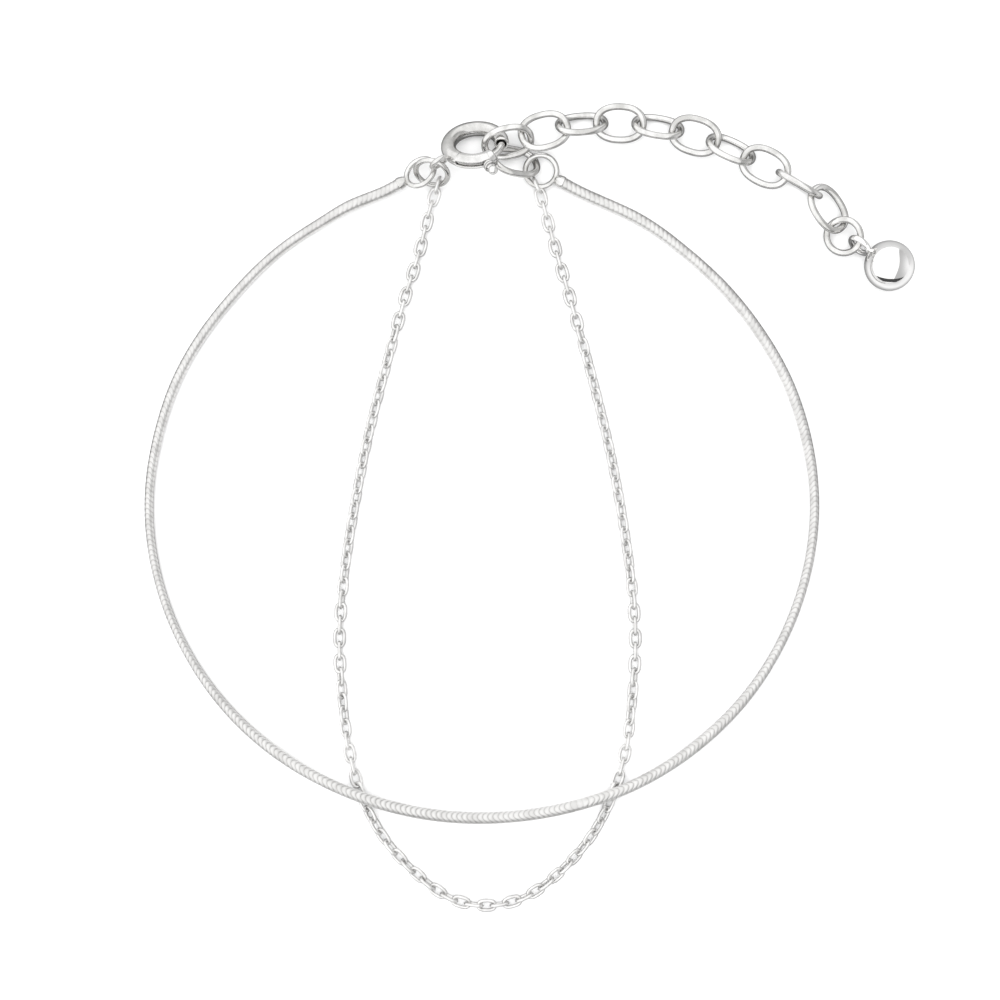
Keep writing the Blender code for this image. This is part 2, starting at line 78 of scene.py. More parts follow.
class Surface:
    # gathers grids into the arrays of one mesh, with one number per point for how deep it lies in a crease
    def __init__(self):
        self.points, self.faces, self.creases, self.count = [], [], [], 0

    def add(self, points, faces, creases=None):
        # the new points come after the old ones, and the faces count on from them
        flat = points.reshape(-1, 3)
        self.points.append(flat)
        self.faces += [face + self.count for face in (faces if isinstance(faces, list) else [faces])]
        self.creases.append(np.zeros(len(flat)) if creases is None else np.ravel(creases))
        self.count += len(flat)

    def loop(self, grid):
        # a grid closed both ways
        self.add(grid, gridFaces(grid.shape[0], grid.shape[1], True))

    def tube(self, grid, creases=None):
        # a grid closed round, with a pole point in the middle of each end row
        rows, columns = grid.shape[:2]
        poles = np.stack([grid[0].mean(0), grid[-1].mean(0)])
        points = np.concatenate([grid.reshape(-1, 3), poles])
        if creases is not None:
            creases = np.concatenate([np.ravel(creases), [np.mean(creases[0]), np.mean(creases[-1])]])
        self.add(points, [gridFaces(rows, columns, False), capFaces(rows, columns, rows * columns)], creases)


def finishPiece(name, surface, material, body, solids):
    # puts the arrays in a mesh, shades it smooth and lets it ride in place of its solids
    mesh = bpy.data.meshes.new(name)
    faces = [face for block in surface.faces for face in block.tolist()]
    mesh.from_pydata(np.concatenate(surface.points).tolist(), [], faces)
    crease = mesh.attributes.new("crease", "FLOAT", "POINT")
    crease.data.foreach_set("value", np.concatenate(surface.creases).astype(np.float32))
    mesh.polygons.foreach_set("use_smooth", np.ones(len(faces), bool))
    mesh.materials.append(material)
    mesh.update()
    piece = bpy.data.objects.new(name, mesh)
    bpy.context.scene.collection.objects.link(piece)
    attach(piece, body)
    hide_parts(*solids)
    print("made", name, len(faces), "faces")


def ovalWire(length, width, wire, power, steps, sides):
    # The wire's middle runs round |x/a|^p + |y/b|^p = 1, and a circle of the wire's radius stands across it.
    angle = np.linspace(0, 2 * np.pi, steps, endpoint=False)
    cosine, sine = np.cos(angle), np.sin(angle)
    x = (length - wire) / 2 * np.sign(cosine) * np.abs(cosine) ** (2 / power)
    y = (width - wire) / 2 * np.sign(sine) * np.abs(sine) ** (2 / power)
    middle = np.stack([x, y, 0 * x], -1)
    along = unit(np.roll(middle, -1, 0) - np.roll(middle, 1, 0))
    outward = np.stack([along[:, 1], -along[:, 0], 0 * x], -1)
    across = np.linspace(0, 2 * np.pi, sides, endpoint=False)[None, :, None]
    ring = outward[:, None] * np.cos(across) + np.array([0, 0, 1.0]) * np.sin(across)
    return middle[:, None] + ring * wire / 2


def turnedSolid(profile, sides):
    # a circle of each radius stands at each height on Z
    profile = np.array(profile, float)
    angle = np.linspace(0, 2 * np.pi, sides, endpoint=False)
    circle = np.stack([np.cos(angle), np.sin(angle)], -1)
    x, y = (profile[:, :1, None] * circle[None]).transpose(2, 0, 1)
    # running down the height keeps the faces outward
    return np.stack([x, y, np.broadcast_to(profile[:, 1:], x.shape)], -1)[::-1]


def smoothPath(points, spacing, finePerPoint=60):
    # the natural cubic spline through the points, worked out finely and then taken at even steps
    points = np.array(points, float)
    steps = np.linalg.norm(np.diff(points, axis=0), axis=1)
    knots = np.concatenate([[0], np.cumsum(steps)])
    count = len(points)
    system = np.eye(count)
    inner = np.arange(1, count - 1)
    system[inner, inner - 1] = steps[:-1]
    system[inner, inner] = 2 * (steps[:-1] + steps[1:])
    system[inner, inner + 1] = steps[1:]
    slopes = np.diff(points, axis=0) / steps[:, None]
    right = np.zeros_like(points)
    right[inner] = 6 * np.diff(slopes, axis=0)
    bend = np.linalg.solve(system, right)
    where = np.linspace(0, knots[-1], finePerPoint * count)
    i = np.clip(np.searchsorted(knots, where, side="right") - 1, 0, count - 2)
    h = steps[i][:, None]
    before = (knots[i + 1] - where)[:, None]
    after = (where - knots[i])[:, None]
    fine = (bend[i] * before**3 + bend[i + 1] * after**3) / (6 * h)
    fine += (points[i] / h - bend[i] * h / 6) * before + (points[i + 1] / h - bend[i + 1] * h / 6) * after
    run = np.concatenate([[0], np.cumsum(np.linalg.norm(np.diff(fine, axis=0), axis=1))])
    even = np.linspace(0, run[-1], max(2, round(run[-1] / spacing) + 1))
    return np.stack([np.interp(even, run, fine[:, axis]) for axis in range(3)], axis=1)


def atLength(path, lengths):
    # the points of a path at given lengths along it
    run = np.concatenate([[0], np.cumsum(np.linalg.norm(np.diff(path, axis=0), axis=1))])
    return np.stack([np.interp(lengths, run, path[:, axis]) for axis in range(3)], axis=-1), run[-1]


def solidAxes(name):
    # a link's middle and its long, wide and thin directions, from the spread of its solid's points
    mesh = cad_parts[name].data
    points = np.empty(len(mesh.vertices) * 3)
    mesh.vertices.foreach_get("co", points)
    points = points.reshape(-1, 3) @ np.array(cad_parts[name].matrix_world)[:3, :3].T
    middle = points.mean(0)
    axes = np.linalg.svd(points - middle, full_matrices=False)[2]
    if np.linalg.det(axes) < 0:
        axes[2] *= -1
    return middle, axes


def addNode(tree, kind, place, **values):
    # one node of a tree, with its own settings
    node = tree.nodes.new(kind)
    node.location = place
    for key, value in values.items():
        setattr(node, key, value)
    return node


handlingPattern = {
    "inputs": {"Base Roughness": 0.08, "Roughness Spread": 0.1, "Ripple Scale": 900, "Scratch Scale": 3000},
    "rippleDetail": 2,
    "scratchDetail": 4,
    "scratchWarp": 1.5,
    "scratchHeight": 0.25,  # as a share of the ripples'
}


def makeHandlingGroup():
    # Wear from handling: soft ripples and fine scratches. The roughness is the base plus the spread times
    # the scratches, and the height is the ripples plus a share of the scratches.
    group = bpy.data.node_groups.new("handlingMarks", "ShaderNodeTree")
    face = group.interface
    for label, value in handlingPattern["inputs"].items():
        socket = face.new_socket(label, in_out="INPUT", socket_type="NodeSocketFloat")
        socket.default_value = value
    face.new_socket("Roughness", in_out="OUTPUT", socket_type="NodeSocketFloat")
    face.new_socket("Height", in_out="OUTPUT", socket_type="NodeSocketFloat")
    start = addNode(group, "NodeGroupInput", (-900, 0))
    end = addNode(group, "NodeGroupOutput", (500, 0))
    place = addNode(group, "ShaderNodeTexCoord", (-900, -300))
    ripple = addNode(group, "ShaderNodeTexNoise", (-600, 100))
    ripple.inputs["Detail"].default_value = handlingPattern["rippleDetail"]
    scratch = addNode(group, "ShaderNodeTexNoise", (-600, -250))
    scratch.inputs["Detail"].default_value = handlingPattern["scratchDetail"]
    scratch.inputs["Distortion"].default_value = handlingPattern["scratchWarp"]
    spread = addNode(group, "ShaderNodeMath", (-200, 100), operation="MULTIPLY")
    total = addNode(group, "ShaderNodeMath", (50, 100), operation="ADD")
    height = addNode(group, "ShaderNodeMath", (0, -200), operation="MULTIPLY_ADD")
    height.inputs[1].default_value = handlingPattern["scratchHeight"]
    link = group.links.new
    link(place.outputs["Object"], ripple.inputs["Vector"])
    link(place.outputs["Object"], scratch.inputs["Vector"])
    link(start.outputs["Ripple Scale"], ripple.inputs["Scale"])
    link(start.outputs["Scratch Scale"], scratch.inputs["Scale"])
    link(scratch.outputs["Fac"], spread.inputs[0])
    link(start.outputs["Roughness Spread"], spread.inputs[1])
    link(spread.outputs[0], total.inputs[0])
    link(start.outputs["Base Roughness"], total.inputs[1])
    link(scratch.outputs["Fac"], height.inputs[0])
    link(ripple.outputs["Fac"], height.inputs[2])
    link(total.outputs[0], end.inputs["Roughness"])
    link(height.outputs[0], end.inputs["Height"])
    return group


tarnishPattern = {
    "colours": {"Clean": 0.95, "Patina": 0.8, "Tarnished": 0.3},
    "noiseScale": 1500,
    "noiseFrom": 0.3,  # the noise's values between which the tarnish grows to its full share
    "noiseTo": 0.7,
    "leastTarnish": 0.75,  # its share where the noise is lowest
    "patinaScale": 600,
    "patinaDetail": 3,
    "patinaFrom": 0.4,  # the noise's values between which clean metal turns to patina
    "patinaTo": 0.68,
}


def makeCreaseGroup():
    # Clean metal with soft patches of patina, and the tarnish that polishing leaves in creases:
    # both are broken up by noise, and the tarnish grows with depth.
    group = bpy.data.node_groups.new("creaseTarnish", "ShaderNodeTree")
    face = group.interface
    for label, value in tarnishPattern["colours"].items():
        socket = face.new_socket(label, in_out="INPUT", socket_type="NodeSocketColor")
        socket.default_value = (value, value, value, 1)
    scale = face.new_socket("Patina Scale", in_out="INPUT", socket_type="NodeSocketFloat")
    scale.default_value = tarnishPattern["patinaScale"]
    face.new_socket("Color", in_out="OUTPUT", socket_type="NodeSocketColor")
    start = addNode(group, "NodeGroupInput", (-900, 0))
    end = addNode(group, "NodeGroupOutput", (500, 0))
    place = addNode(group, "ShaderNodeTexCoord", (-900, -300))
    depth = addNode(group, "ShaderNodeAttribute", (-600, 200), attribute_name="crease")
    noise = addNode(group, "ShaderNodeTexNoise", (-600, -150))
    noise.inputs["Scale"].default_value = tarnishPattern["noiseScale"]
    broken = addNode(group, "ShaderNodeMapRange", (-350, -150))
    broken.inputs["From Min"].default_value = tarnishPattern["noiseFrom"]
    broken.inputs["From Max"].default_value = tarnishPattern["noiseTo"]
    broken.inputs["To Min"].default_value = tarnishPattern["leastTarnish"]
    patches = addNode(group, "ShaderNodeTexNoise", (-600, -450))
    patches.inputs["Detail"].default_value = tarnishPattern["patinaDetail"]
    patina = addNode(group, "ShaderNodeMapRange", (-350, -450), interpolation_type="SMOOTHSTEP")
    patina.inputs["From Min"].default_value = tarnishPattern["patinaFrom"]
    patina.inputs["From Max"].default_value = tarnishPattern["patinaTo"]
    metal = addNode(group, "ShaderNodeMix", (-100, -300), data_type="RGBA")
    share = addNode(group, "ShaderNodeMath", (-100, 100), operation="MULTIPLY")
    mix = addNode(group, "ShaderNodeMix", (200, 0), data_type="RGBA")
    link = group.links.new
    link(place.outputs["Object"], noise.inputs["Vector"])
    link(noise.outputs["Fac"], broken.inputs["Value"])
    link(depth.outputs["Fac"], share.inputs[0])
    link(broken.outputs["Result"], share.inputs[1])
    link(share.outputs[0], mix.inputs["Factor"])
    link(place.outputs["Object"], patches.inputs["Vector"])
    link(start.outputs["Patina Scale"], patches.inputs["Scale"])
    link(patches.outputs["Fac"], patina.inputs["Value"])
    link(patina.outputs["Result"], metal.inputs["Factor"])
    # a Mix node's two colours are its inputs 6 and 7, and its colour out is its output 2
    link(start.outputs["Clean"], metal.inputs[6])
    link(start.outputs["Patina"], metal.inputs[7])
    link(metal.outputs[2], mix.inputs[6])
    link(start.outputs["Tarnished"], mix.inputs[7])
    link(mix.outputs[2], end.inputs["Color"])
    return group


handlingMarks = makeHandlingGroup()
creaseTarnish = makeCreaseGroup()


def makeSilver(name, look):
    # polished metal whose colour darkens in creases and whose gloss is broken by fine marks
    material = bpy.data.materials.new(name)
    material.use_nodes = True
    tree = material.node_tree
    shader = tree.nodes["Principled BSDF"]
    shader.inputs["Metallic"].default_value = 1.0
    marks = addNode(tree, "ShaderNodeGroup", (-700, -100), node_tree=handlingMarks)
    marks.inputs["Base Roughness"].default_value = look["roughness"]
    marks.inputs["Roughness Spread"].default_value = look["roughnessSpread"]
    marks.inputs["Ripple Scale"].default_value = look["rippleScale"]
    marks.inputs["Scratch Scale"].default_value = look["scratchScale"]
    tarnish = addNode(tree, "ShaderNodeGroup", (-700, 250), node_tree=creaseTarnish)
    tarnish.inputs["Clean"].default_value = look["clean"]
    tarnish.inputs["Patina"].default_value = look["patina"]
    tarnish.inputs["Tarnished"].default_value = look["tarnished"]
    tarnish.inputs["Patina Scale"].default_value = look["patinaScale"]
    bump = addNode(tree, "ShaderNodeBump", (-350, -250))
    bump.inputs["Distance"].default_value = look["bumpDepth"] * mm
    link = tree.links.new
    link(tarnish.outputs["Color"], shader.inputs["Base Color"])
    link(marks.outputs["Roughness"], shader.inputs["Roughness"])
    link(marks.outputs["Height"], bump.inputs["Height"])
    link(bump.outputs["Normal"], shader.inputs["Normal"])
    return material


silverLooks = {
    # colours, noise scales per metre, and the bumps' depth in mm
    "polishedSilver": {
        "clean": (0.82, 0.815, 0.805, 1),
        "patina": (0.6, 0.595, 0.58, 1),
        "patinaScale": 600,
        "tarnished": (0.12, 0.115, 0.11, 1),
        "roughness": 0.12,
        "roughnessSpread": 0.1,
        "rippleScale": 700,
        "scratchScale": 4000,
        "bumpDepth": 0.012,
    },
    "ballSilver": {
        "clean": (0.97, 0.965, 0.96, 1),
        "patina": (0.88, 0.875, 0.87, 1),
        "patinaScale": 300,
        "tarnished": (0.3, 0.29, 0.28, 1),
        "roughness": 0.03,
        "roughnessSpread": 0.05,
        "rippleScale": 350,
        "scratchScale": 5000,
        "bumpDepth": 0.003,
    },
    "snakeSilver": {
        "clean": (0.79, 0.785, 0.775, 1),
        "patina": (0.68, 0.675, 0.665, 1),
        "patinaScale": 900,
        "tarnished": (0.42, 0.41, 0.4, 1),
        "roughness": 0.32,
        "roughnessSpread": 0.1,
        "rippleScale": 1500,
        "scratchScale": 5000,
        "bumpDepth": 0.006,
    },
    "fineSilver": {
        "clean": (0.9, 0.895, 0.885, 1),
        "patina": (0.74, 0.735, 0.725, 1),
        "patinaScale": 1300,
        "tarnished": (0.2, 0.195, 0.19, 1),
        "roughness": 0.24,
        "roughnessSpread": 0.1,
        "rippleScale": 1800,
        "scratchScale": 5000,
        "bumpDepth": 0.006,
    },
}
silver = {name: makeSilver(name, look) for name, look in silverLooks.items()}
print("silver materials ready")

endRing = {
    # lengths in mm
    "diameter": 3.07,
    "wire": 0.45,
    "steps": 56,
    "sides": 16,
    "cupLength": 0.6,
    "cupSunk": 0.6,  # share of the wire
    # share of the snake chain's diameter from the middle line, share of the cup's height
    "cupProfile": (
        (0.19, 0.0), (0.36, 0.18), (0.46, 0.4), (0.52, 0.68), (0.54, 0.88), (0.53, 0.97), (0.5, 1.0),
    ),
    "cupSides": 24,
    # x, y and z of the middle, and heading, pitch and roll in degrees
    "places": {
        "left_end_ring": (-8.98, 27.94, 1.80, 27, 15, -36),
        "right_end_ring": (1.03, 28.17, 0.86, 152, 5, -1.5),
    },
}


def makeEndRing(name, place):
    # a round wire, and on its -X side a cup turned about a line through the ring's middle
    surface = Surface()
    diameter, wire = endRing["diameter"] * mm, endRing["wire"] * mm
    surface.loop(turned(ovalWire(diameter, diameter, wire, 2, endRing["steps"], endRing["sides"]), place))
    sunk = endRing["wire"] * endRing["cupSunk"]
    start = endRing["diameter"] / 2 - sunk
    profile = [
        (snakeChain["diameter"] * wide * mm, (start + (sunk + endRing["cupLength"]) * high) * mm)
        for wide, high in endRing["cupProfile"]
    ]
    cup = turnedSolid(profile, endRing["cupSides"])
    # the cup's own Z is laid along -X
    cup = np.stack([-cup[..., 2], cup[..., 1], cup[..., 0]], -1)
    surface.tube(turned(cup, place))
    finishPiece(name + "Smooth", surface, silver["polishedSilver"], "bracelet", [name])


linkKinds = {
    # outer length, outer width and wire in mm, how square the oval is, and its steps, sides and metal
    "extenderLink": ((4.46, 3.32, 0.56), 2.3, 56, 16, "polishedSilver"),
    "claspRing": ((3.17, 3.17, 0.45), 2, 56, 16, "polishedSilver"),
    "endRing": ((3.36, 3.36, 0.54), 2, 56, 16, "polishedSilver"),
    "fineEndLink": ((1.62, 1.22, 0.28), 2.3, 32, 10, "fineSilver"),
}


def makeLink(name, kind):
    # the oval wire laid along its solid's own long, wide and thin directions
    sizes, power, steps, sides, metal = linkKinds[kind]
    length, width, wire = (size * mm for size in sizes)
    middle, axes = solidAxes(name)
    surface = Surface()
    surface.loop(ovalWire(length, width, wire, power, steps, sides) @ axes + middle)
    finishPiece(name + "Smooth", surface, silver[metal], "bracelet", [name])


springRing = {
    # lengths in mm and angles in degrees
    "place": (-4.45, 30.17, 2.18, 10, -3, -45.5),  # x, y, z, heading, pitch and roll
    "diameter": 5.64,
    "tube": 1.24,
    "wall": 0.18,
    "mouthAngle": -12.0,
    "gapAngle": 47.0,
    "knobAngle": -76.0,
    "travel": 55.0,
    "slotHalf": 0.19,
    "slotEdge": 0.01,  # over what angle the slot opens
    "seamHalf": 0.002,  # in radians, where the section closes on itself
    "insideTarnish": 0.1,
    "steps": 120,
    "sides": 24,
    "tailAngle": -155.0,
    "tailLoop": (1.8, 0.4),  # outer diameter, wire
    "tailTilt": 30.0,
    "tailSunk": 0.153,
    "tailSteps": 40,
    "tailSides": 14,
}


def slottedRing():
    # A hollow tube bent round the ring. Its section is a circle that is open at the slot,
    # over the trigger's travel.
    bend = (springRing["diameter"] - springRing["tube"]) / 2
    outer = springRing["tube"] / 2
    inner = outer - springRing["wall"]
    end = springRing["mouthAngle"] - springRing["gapAngle"] + 360
    margin = math.degrees(springRing["slotHalf"] / (springRing["diameter"] / 2))
    slotFrom = springRing["knobAngle"] + 360 - springRing["travel"] - margin
    slotTo = springRing["knobAngle"] + 360 + margin
    angles = np.linspace(springRing["mouthAngle"], end, springRing["steps"])
    edge = springRing["slotEdge"]
    angles = np.unique(np.concatenate([angles, [slotFrom, slotTo, slotFrom - edge, slotTo + edge]]))
    isOpen = (angles >= slotFrom) & (angles <= slotTo)
    sides = springRing["sides"]
    rows = []
    for radius in (outer, inner):
        half = np.where(isOpen, math.asin(springRing["slotHalf"] / radius), springRing["seamHalf"])[:, None]
        around = half + (2 * np.pi - 2 * half) * np.linspace(0, 1, sides)[None, :]
        rows.append((bend + radius * np.cos(around), radius * np.sin(around)))
    # outer profile forwards and inner profile backwards make one closed section
    across = np.concatenate([rows[0][0], rows[1][0][:, ::-1]], 1)
    up = np.concatenate([rows[0][1], rows[1][1][:, ::-1]], 1)
    turn = np.radians(angles)[:, None]
    grid = np.stack([across * np.cos(turn), across * np.sin(turn), up], -1) * mm
    inside = np.zeros(grid.shape[:2])
    inside[:, sides:] = springRing["insideTarnish"]
    return grid, inside


def makeSpringRing():
    # the slotted tube with a wall at each end, and the tail loop turned out of its plane
    surface = Surface()
    grid, inside = slottedRing()
    rows, columns = grid.shape[:2]
    faces = gridFaces(rows, columns, False)
    # the two ends are walls between the outer and the inner profile
    half = columns // 2
    side = np.arange(half - 1)
    near = np.stack([side, side + 1, columns - 2 - side, columns - 1 - side], -1)
    far = near[:, ::-1] + (rows - 1) * columns
    surface.add(turned(grid, springRing["place"]), [faces, near, far], inside)
    loopSize, loopWire = springRing["tailLoop"]
    steps, sides = springRing["tailSteps"], springRing["tailSides"]
    loop = ovalWire(loopSize * mm, loopSize * mm, loopWire * mm, 2, steps, sides)
    out = springRing["diameter"] / 2 + loopSize / 2 - springRing["tailSunk"]
    loop = turned(loop, (out, 0, 0, 0, 0, 90 - springRing["tailTilt"]))
    loop = turned(loop, (0, 0, 0, springRing["tailAngle"], 0, 0))
    surface.loop(turned(loop, springRing["place"]))
    metal = silver["polishedSilver"]
    finishPiece("springRingSmooth", surface, metal, "bracelet", ["spring_ring"])


trigger = {
    # lengths in mm and angles in degrees
    "boltWire": 0.8,
    "boltTip": 0.62,
    "tipFrom": (-72.0, -48.0),
    "boltFrom": -146.0,
    "boltTo": -4.0,
    "boltSteps": 40,
    "boltSides": 16,
    "endRound": 0.07,  # share of the bolt's length that is rounded at each end
    "endDrop": 0.85,  # how much of a full quarter circle it is
    "stem": 0.32,
    "knob": 1.04,
    "knobHeight": 0.55,
    "knobGap": 0.16,
    "knobSides": 28,
    "bulb": 0.8,
    "bulbOut": 0.75,
    "bulbFrom": -30,
    "bulbTo": 86,
    "bulbRows": 10,
    # share of the knob's radius, share of its height
    "ribs": (
        (0.5, 0.0), (0.84, 0.02), (0.97, 0.1), (1.0, 0.15), (0.97, 0.22), (0.84, 0.38),
        (0.97, 0.53), (1.0, 0.6), (0.97, 0.67), (0.84, 0.85), (0.62, 0.97), (0.55, 1.0),
    ),
    "grooveFrom": 0.95,  # share of the radius under which tarnish starts
    "grooveReach": 0.1,  # how much deeper it is full
    "neck": 0.7,  # and under which there is none
}


def makeTrigger():
    # the bolt bent about the ring's middle, and the stem, ribbed knob and bulb turned as one solid
    surface = Surface()
    bend = (springRing["diameter"] - springRing["tube"]) / 2
    share = np.linspace(0, 1, trigger["boltSteps"])
    turns = trigger["boltFrom"] + (trigger["boltTo"] - trigger["boltFrom"]) * share
    # the bolt is thinner at its tip, and each end is rounded as a quarter circle
    wire = np.interp(turns, trigger["tipFrom"], (trigger["boltWire"], trigger["boltTip"]))
    fromEnd = np.clip(np.minimum(share, 1 - share) / trigger["endRound"], 0, 1)
    radius = wire / 2 * np.sqrt(1 - (1 - fromEnd) ** 2 * trigger["endDrop"])
    angle = np.radians(turns)[:, None]
    around = np.linspace(0, 2 * np.pi, trigger["boltSides"], endpoint=False)[None, :]
    across = bend + radius[:, None] * np.cos(around)
    up = np.broadcast_to(radius[:, None] * np.sin(around), across.shape)
    bolt = np.stack([across * np.cos(angle), across * np.sin(angle), up], -1) * mm
    surface.tube(turned(bolt, springRing["place"]))
    start = springRing["tube"] / 2 + trigger["knobGap"]
    profile = [(trigger["stem"] / 2, 0.0), (trigger["stem"] / 2, start)]
    for wide, high in trigger["ribs"]:
        profile.append((trigger["knob"] / 2 * wide, start + trigger["knobHeight"] * high))
    bulb = trigger["bulb"] / 2
    middle = start + trigger["knobHeight"] + bulb * trigger["bulbOut"]
    for turn in np.radians(np.linspace(trigger["bulbFrom"], trigger["bulbTo"], trigger["bulbRows"])):
        profile.append((bulb * math.cos(turn), middle + bulb * math.sin(turn)))
    # the knob's grooves hold tarnish, more where they are deeper
    wide = np.array([0.0, 0.0] + [rib[0] for rib in trigger["ribs"]] + [1.0] * trigger["bulbRows"])
    grooves = np.clip((trigger["grooveFrom"] - wide) / trigger["grooveReach"], 0, 1)
    grooves = grooves * (wide > trigger["neck"])
    knob = turnedSolid(np.array(profile) * mm, trigger["knobSides"])
    knob = np.stack([knob[..., 2] + bend * mm, knob[..., 1], -knob[..., 0]], -1)
    knob = turned(knob, (0, 0, 0, springRing["knobAngle"], 0, 0))
    surface.tube(turned(knob, springRing["place"]), np.repeat(grooves[::-1, None], knob.shape[1], 1))
    metal = silver["polishedSilver"]
    finishPiece("claspTriggerSmooth", surface, metal, "trigger", ["clasp_trigger"])


ballDrop = {
    # lengths in mm and angles in degrees
    "place": (29.855, 20.19, 2.085, -36.22, 15.08, 71.0),  # x, y, z, heading, pitch and roll
    "diameter": 4.17,
    "poleLatitude": 89,  # where the last row stands before the pole point
    "rows": 64,
    "sides": 96,
    "loop": (2.2, 0.5),  # outer diameter, wire
    "loopSunk": 0.15,
    "loopSteps": 48,
    "loopSides": 16,
    # the solder round the loop's foot: how far from the middle line, share of the ball's radius up, tarnish
    "peg": (
        (0.46, 0.968, 1.0),
        (0.42, 0.98, 1.0),
        (0.37, 0.99, 0.9),
        (0.33, 1.01, 0.6),
        (0.3, 1.03, 0.3),
        (0.27, 1.05, 0.1),
        (0.22, 1.06, 0.0),
    ),
    "pegSides": 28,
}


def makeBall():
    # a turned circle, a round wire on its -X side, and the turned foot between them
    surface = Surface()
    radius = ballDrop["diameter"] / 2
    pole = ballDrop["poleLatitude"]
    latitude = np.radians(np.linspace(-pole, pole, ballDrop["rows"]))
    ball = turnedSolid(np.stack([np.cos(latitude), np.sin(latitude)], -1) * radius * mm, ballDrop["sides"])
    surface.tube(turned(ball, ballDrop["place"]))
    size, wire = ballDrop["loop"]
    out = radius + size / 2 - ballDrop["loopSunk"]
    steps, sides = ballDrop["loopSteps"], ballDrop["loopSides"]
    loop = ovalWire(size * mm, size * mm, wire * mm, 2, steps, sides) - np.array([out * mm, 0, 0])
    surface.loop(turned(loop, ballDrop["place"]))
    profile = [(wide * mm, radius * high * mm) for wide, high, _ in ballDrop["peg"]]
    peg = turnedSolid(profile, ballDrop["pegSides"])
    peg = np.stack([-peg[..., 2], peg[..., 1], peg[..., 0]], -1)
    # the solid's rows run from its top down, and so does the tarnish
    tarnish = np.array([dark for _, _, dark in ballDrop["peg"]])[::-1, None]
    surface.tube(turned(peg, ballDrop["place"]), np.repeat(tarnish, peg.shape[1], 1))
    finishPiece("ballDropSmooth", surface, silver["ballSilver"], "bracelet", ["ball_drop"])


snakeChain = {
    # lengths in mm and angles in degrees
    "diameter": 1.0,
    "plate": 0.43,  # from one woven plate to the next
    "grooveDepth": 0.046,
    "wave": 0.23,  # half of how far a plate's edge swings along the chain
    "waveShape": 0.8,  # under 1 the swing's peaks are blunter
    "standOut": 1.25,  # the share of the groove's depth for each unit of the swing's strength
    "leastGroove": 0.5,  # and its least share
    "tarnishShape": 1.5,  # over 1 the tarnish keeps to the grooves' bottoms
    "lift": 1.04,  # what clears the fine chain
    "intoCup": 0.12,  # how far the chain starts inside its cup
    "fromCup": 1.08,  # how far it runs straight out of it
    "pathStep": 0.1,
    "tangentReach": 0.2,
    "middle": (-3.88, 1.62),
    # angle, radius, share of the lift, the turn of the plates' peaks from straight up,
    # how strongly their edges swing and stand out, and to which side,
    # and the width as a share of the diameter
    "route": (
        (115, 26.05, 0.45, 40, 0.5, 0.97),
        (120, 25.99, 0.22, 40, 0.45, 0.87),
        (130, 26.12, 0.02, 42, 0.4, 0.82),
        (140, 26.23, 0, 42, 0.45, 0.86),
        (150, 26.57, 0, 40, 0.5, 0.86),
        (160, 27.00, 0, 34, 0.6, 0.84),
        (170, 27.33, 0, 30, 0.7, 0.8),
        (180, 27.70, 0, 26, 0.8, 0.75),
        (195, 27.97, 0, 4, 0.8, 0.73),
        (210, 28.02, 0, -14, 0.9, 0.75),
        (222, 27.95, 0, -18, 1, 0.87),
        (230, 27.82, 0.13, -20, 1, 0.9),
        (236, 27.66, 0.47, -20, 1, 0.92),
        (242, 27.50, 0.86, -20, 1, 0.94),
        (248.5, 27.38, 1, -20, 1, 0.96),
        (255, 27.31, 0.94, -19, 1, 1),
        (263, 27.27, 0.8, -18, 1, 1),
        (271, 27.24, 0.74, -17, 1, 0.98),
        (279, 27.26, 0.8, -20, 1, 0.96),
        (285, 27.31, 0.91, -20, 1, 0.95),
        (289.5, 27.37, 0.96, -20, -1, 0.95),
        (293.5, 27.46, 1, -22, -1, 0.94),
        (300, 27.60, 0.86, -22, -1, 0.94),
        (306, 27.72, 0.47, -22, -1, 0.94),
        (312, 27.83, 0.13, -22, -1, 0.94),
        (320, 27.95, 0, -20, -1, 0.89),
        (330, 27.99, 0, -8, -0.9, 0.79),
        (345, 27.93, 0, 0, -0.8, 0.75),
        (360, 27.68, 0, 10, -0.8, 0.76),
        (370, 27.33, 0, 25, -0.75, 0.89),
        (380, 27.00, 0, 40, -0.55, 0.9),
        (390, 26.58, 0, 45, -0.5, 0.92),
        (400, 26.28, 0, 48, -0.45, 0.92),
        (410, 26.08, 0, 50, -0.5, 0.9),
        (420, 26.08, 0.05, 50, -0.55, 0.97),
    ),
    "sides": 28,
    # share of a plate's length, share of the groove's depth
    "plateProfile": ((0.0, 1.0), (0.12, 0.42), (0.36, 0.02), (0.66, 0.0), (0.9, 0.3)),
}


def cupMouth(name, gap):
    # the point at a gap beyond an end ring's cup, on its -X side
    reach = endRing["diameter"] / 2 + endRing["cupLength"] + gap
    return turned(np.array([-reach * mm, 0, 0]), endRing["places"][name])


def snakePath():
    # round the middle at each angle's radius and lift, from cup to cup
    angle, radius, lift = np.array(snakeChain["route"], float).T[:3]
    turn = np.radians(angle)
    x = snakeChain["middle"][0] + radius * np.cos(turn)
    y = snakeChain["middle"][1] + radius * np.sin(turn)
    z = lift * snakeChain["lift"] + snakeChain["diameter"] / 2
    inside, straight = -snakeChain["intoCup"], snakeChain["fromCup"]
    points = [cupMouth("left_end_ring", inside), cupMouth("left_end_ring", straight)]
    points += list(np.stack([x, y, z], -1) * mm)
    points += [cupMouth("right_end_ring", straight), cupMouth("right_end_ring", inside)]
    return smoothPath(points, snakeChain["pathStep"] * mm)


